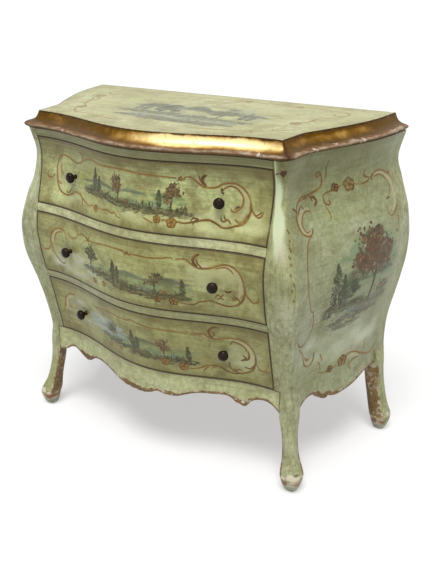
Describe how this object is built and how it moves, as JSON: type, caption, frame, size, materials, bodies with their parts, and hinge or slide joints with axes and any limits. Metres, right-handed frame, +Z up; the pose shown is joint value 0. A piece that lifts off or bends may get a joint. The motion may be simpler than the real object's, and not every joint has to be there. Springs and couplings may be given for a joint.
{
  "type": "bombe chest",
  "caption": "Bombe chest with three bowed drawers on turned knobs, painted case on four cabriole legs and a gilt cove moulding round the top.",
  "frame": {"origin": "middle of the underside of the bounding box, on the floor", "axes": "+Z up, -Y towards the front with the drawers, +X to the right seen from the front"},
  "size_m": [0.9652, 0.4631, 0.815],
  "materials": {
    "case_paint": "pale green paint, aged glaze, painted scrollwork",
    "drawer_paint": "olive green paint, aged glaze, painted scrollwork",
    "gilding": "worn gilding over red clay",
    "bare_wood": "unfinished pine",
    "dark_turning": "dark polished turning",
    "knob_steel": "plain steel"
  },
  "bodies": {
    "case": {"top_panel": "case_paint", "moulding_front": "gilding", "moulding_left": "gilding", "moulding_right": "gilding", "top_rear_batten": "bare_wood", "frieze_rail": "case_paint", "divider_rail_lower": "case_paint", "divider_rail_upper": "case_paint", "bottom_rail": "bare_wood", "front_apron": "case_paint", "back_board": "bare_wood", "bottom_board": "bare_wood", "front_post_left": "case_paint", "back_post_left": "case_paint", "side_board_left": "case_paint", "kicker_left": "bare_wood", "front_post_right": "case_paint", "back_post_right": "case_paint", "side_board_right": "case_paint", "kicker_right": "bare_wood", "lower_runner_left": "bare_wood", "lower_runner_right": "bare_wood", "middle_runner_left": "bare_wood", "middle_runner_right": "bare_wood", "upper_runner_left": "bare_wood", "upper_runner_right": "bare_wood"},
    "lower_drawer": {"lower_drawer_front": "drawer_paint", "lower_drawer_back": "bare_wood", "lower_drawer_bottom": "bare_wood", "lower_drawer_side_left": "bare_wood", "lower_drawer_side_right": "bare_wood", "lower_knob_left": "dark_turning", "lower_knob_right": "dark_turning", "lower_knob_screw_left": "knob_steel", "lower_knob_screw_right": "knob_steel"},
    "middle_drawer": {"middle_drawer_front": "drawer_paint", "middle_drawer_back": "bare_wood", "middle_drawer_bottom": "bare_wood", "middle_drawer_side_left": "bare_wood", "middle_drawer_side_right": "bare_wood", "middle_knob_left": "dark_turning", "middle_knob_right": "dark_turning", "middle_knob_screw_left": "knob_steel", "middle_knob_screw_right": "knob_steel"},
    "upper_drawer": {"upper_drawer_front": "drawer_paint", "upper_drawer_back": "bare_wood", "upper_drawer_bottom": "bare_wood", "upper_drawer_side_left": "bare_wood", "upper_drawer_side_right": "bare_wood", "upper_knob_left": "dark_turning", "upper_knob_right": "dark_turning", "upper_knob_screw_left": "knob_steel", "upper_knob_screw_right": "knob_steel"}
  },
  "joints": [
    {"name": "lower_drawer_slide", "type": "slide", "parent": "case", "child": "lower_drawer", "axis": [0, -1, 0], "range_m": [0, 0.25]},
    {"name": "middle_drawer_slide", "type": "slide", "parent": "case", "child": "middle_drawer", "axis": [0, -1, 0], "range_m": [0, 0.25]},
    {"name": "upper_drawer_slide", "type": "slide", "parent": "case", "child": "upper_drawer", "axis": [0, -1, 0], "range_m": [0, 0.25]}
  ]
}
